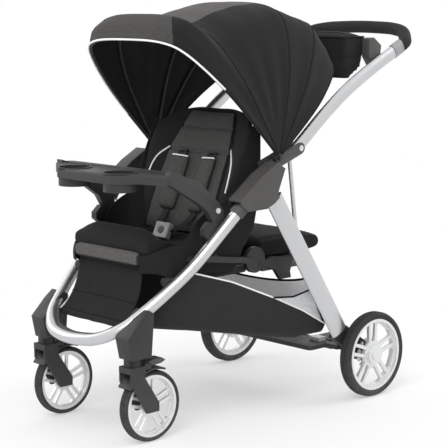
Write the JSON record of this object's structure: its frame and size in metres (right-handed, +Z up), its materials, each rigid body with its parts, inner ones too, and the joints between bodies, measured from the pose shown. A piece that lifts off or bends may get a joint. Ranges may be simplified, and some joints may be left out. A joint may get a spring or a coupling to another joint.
{
  "type": "sit and stand stroller",
  "caption": "Folding stroller with a reclining canopied seat, tray, rear bench, standing platform, basket and swivel front wheels.",
  "frame": {"origin": "bottom centre of the overall box, on the floor midway between the sides", "axes": "+Z up, the stroller faces -Y and +X is the seated child's left"},
  "size_m": [0.609, 1.1466, 1.1089],
  "materials": {
    "silver_tube": "satin",
    "dark_plastic": "matte",
    "grey_plastic": "satin",
    "light_plastic": "satin",
    "black_fabric": "woven",
    "grey_fabric": "woven",
    "webbing": "woven",
    "foam_grip": "matte",
    "tyre": "matte",
    "rim": "satin",
    "steel": "satin"
  },
  "bodies": {
    "frame": {"front_frame_tube": "silver_tube", "footrest_strip": "dark_plastic", "hub_casings": "grey_plastic", "hub_plates": "dark_plastic", "handle_brackets": "grey_plastic", "frame_rivets": "steel", "caster_brackets": "dark_plastic", "tray_mounts": "grey_plastic", "seat_frame": "dark_plastic", "hanger_tubes": "silver_tube", "bench_brackets": "dark_plastic", "basket": "black_fabric", "basket_mesh": "grey_fabric", "seat_pan": "black_fabric", "crotch_strap": "webbing", "buckle": "dark_plastic", "canopy_rear": "black_fabric", "canopy_clips": "dark_plastic", "latch_pivot": "steel"},
    "bench": {"bench_cushion": "black_fabric", "bench_base": "grey_plastic"},
    "seat_back": {"seat_back_shell": "black_fabric", "seat_back_insert": "grey_fabric", "shoulder_pads": "grey_fabric", "harness_straps": "webbing"},
    "leg_rest": {"leg_rest": "grey_fabric"},
    "tray": {"tray": "grey_plastic", "cup_bowls": "dark_plastic"},
    "tray_button_left": {"tray_button_left": "light_plastic"},
    "tray_button_right": {"tray_button_right": "light_plastic"},
    "buckle_button": {"buckle_button": "light_plastic"},
    "storage_latch": {"storage_latch": "grey_plastic"},
    "canopy_middle": {"canopy_middle": "black_fabric"},
    "canopy_front": {"canopy_front": "black_fabric"},
    "handle": {"handle_tubes": "silver_tube", "handle_bar_core": "dark_plastic", "handle_foam": "foam_grip", "handle_collars": "dark_plastic", "organiser": "black_fabric", "organiser_brackets": "grey_plastic"},
    "rear_legs": {"rear_legs": "silver_tube", "axle_housings": "dark_plastic", "axle_tube": "dark_plastic", "platform": "dark_plastic", "platform_grips": "light_plastic"},
    "brake_pedal": {"brake_pedal": "dark_plastic"},
    "brake_pin_left": {"brake_pin_left": "steel"},
    "brake_pin_right": {"brake_pin_right": "steel"},
    "rear_wheel_left": {"rear_tyre_left": "tyre", "rear_rim_left": "rim"},
    "caster_left": {"caster_fork_left": "dark_plastic"},
    "lock_lever_left": {"lock_lever_left": "grey_plastic"},
    "front_wheel_left": {"front_tyre_left": "tyre", "front_rim_left": "rim"},
    "rear_wheel_right": {"rear_tyre_right": "tyre", "rear_rim_right": "rim"},
    "caster_right": {"caster_fork_right": "dark_plastic"},
    "lock_lever_right": {"lock_lever_right": "grey_plastic"},
    "front_wheel_right": {"front_tyre_right": "tyre", "front_rim_right": "rim"}
  },
  "joints": [
    {"name": "handle_fold", "type": "hinge", "parent": "frame", "child": "handle", "pos_m": [0, 0.04817, 0.715], "axis": [1, 0, 0], "range_deg": [-85, 0]},
    {"name": "rear_leg_fold", "type": "hinge", "parent": "frame", "child": "rear_legs", "pos_m": [0, -0.09983, 0.622], "axis": [1, 0, 0], "range_deg": [-48, 0]},
    {"name": "seat_recline", "type": "hinge", "parent": "frame", "child": "seat_back", "pos_m": [0, -0.18583, 0.438], "axis": [-1, 0, 0], "range_deg": [0, 40]},
    {"name": "leg_rest_tilt", "type": "hinge", "parent": "frame", "child": "leg_rest", "pos_m": [0, -0.43113, 0.469], "axis": [-1, 0, 0], "range_deg": [0, 60]},
    {"name": "tray_swing", "type": "hinge", "parent": "frame", "child": "tray", "pos_m": [-0.2205, -0.25283, 0.55], "axis": [0, 0, -1], "range_deg": [0, 75]},
    {"name": "tray_button_left_press", "type": "slide", "parent": "tray", "child": "tray_button_left", "axis": [-1, 0, 0], "range_m": [0, 0.003], "stiffness_N_per_m": 400, "springref_m": -0.001},
    {"name": "tray_button_right_press", "type": "slide", "parent": "tray", "child": "tray_button_right", "axis": [1, 0, 0], "range_m": [0, 0.003], "stiffness_N_per_m": 400, "springref_m": -0.001},
    {"name": "buckle_button_press", "type": "slide", "parent": "frame", "child": "buckle_button", "axis": [0, 0.9135, -0.4067], "range_m": [0, 0.003], "stiffness_N_per_m": 400, "springref_m": -0.001},
    {"name": "storage_latch_swing", "type": "hinge", "parent": "frame", "child": "storage_latch", "pos_m": [0.2327, -0.18183, 0.604], "axis": [-1, 0, 0], "range_deg": [0, 60]},
    {"name": "canopy_middle_fold", "type": "hinge", "parent": "frame", "child": "canopy_middle", "pos_m": [0, -0.04883, 0.697], "axis": [-1, 0, 0], "range_deg": [0, 33]},
    {"name": "canopy_front_fold", "type": "hinge", "parent": "canopy_middle", "child": "canopy_front", "pos_m": [0, -0.04883, 0.697], "axis": [-1, 0, 0], "range_deg": [0, 36]},
    {"name": "bench_slide", "type": "slide", "parent": "frame", "child": "bench", "axis": [0, -1, 0], "range_m": [0, 0.06]},
    {"name": "brake_press", "type": "hinge", "parent": "rear_legs", "child": "brake_pedal", "pos_m": [0, 0.23317, 0.14], "axis": [-1, 0, 0], "range_deg": [0, 18]},
    {"name": "brake_pin_left_slide", "type": "slide", "parent": "rear_legs", "child": "brake_pin_left", "axis": [1, 0, 0], "range_m": [0, 0.006]},
    {"name": "brake_pin_right_slide", "type": "slide", "parent": "rear_legs", "child": "brake_pin_right", "axis": [-1, 0, 0], "range_m": [0, 0.006]},
    {"name": "rear_wheel_left_spin", "type": "hinge", "parent": "rear_legs", "child": "rear_wheel_left", "pos_m": [0.286, 0.28817, 0.12], "axis": [1, 0, 0], "continuous": true},
    {"name": "caster_left_swivel", "type": "hinge", "parent": "frame", "child": "caster_left", "pos_m": [0.1786, -0.49883, 0.2], "axis": [0, 0, 1], "continuous": true},
    {"name": "front_wheel_left_spin", "type": "hinge", "parent": "caster_left", "child": "front_wheel_left", "pos_m": [0.1786, -0.44383, 0.092], "axis": [1, 0, 0], "continuous": true},
    {"name": "lock_lever_left_lift", "type": "hinge", "parent": "caster_left", "child": "lock_lever_left", "pos_m": [0.1786, -0.46783, 0.201], "axis": [1, 0, 0], "range_deg": [0, 20]},
    {"name": "rear_wheel_right_spin", "type": "hinge", "parent": "rear_legs", "child": "rear_wheel_right", "pos_m": [-0.286, 0.28817, 0.12], "axis": [1, 0, 0], "continuous": true},
    {"name": "caster_right_swivel", "type": "hinge", "parent": "frame", "child": "caster_right", "pos_m": [-0.1786, -0.49883, 0.2], "axis": [0, 0, 1], "continuous": true},
    {"name": "front_wheel_right_spin", "type": "hinge", "parent": "caster_right", "child": "front_wheel_right", "pos_m": [-0.1786, -0.44383, 0.092], "axis": [1, 0, 0], "continuous": true},
    {"name": "lock_lever_right_lift", "type": "hinge", "parent": "caster_right", "child": "lock_lever_right", "pos_m": [-0.1786, -0.46783, 0.201], "axis": [1, 0, 0], "range_deg": [0, 20]}
  ],
  "couplings": [
    {"joint": "rear_leg_fold", "follows": "handle_fold", "ratio": 0.5647},
    {"joint": "brake_pin_left_slide", "follows": "brake_press", "m_per_rad": 0.01909},
    {"joint": "brake_pin_right_slide", "follows": "brake_press", "m_per_rad": 0.01909}
  ]
}
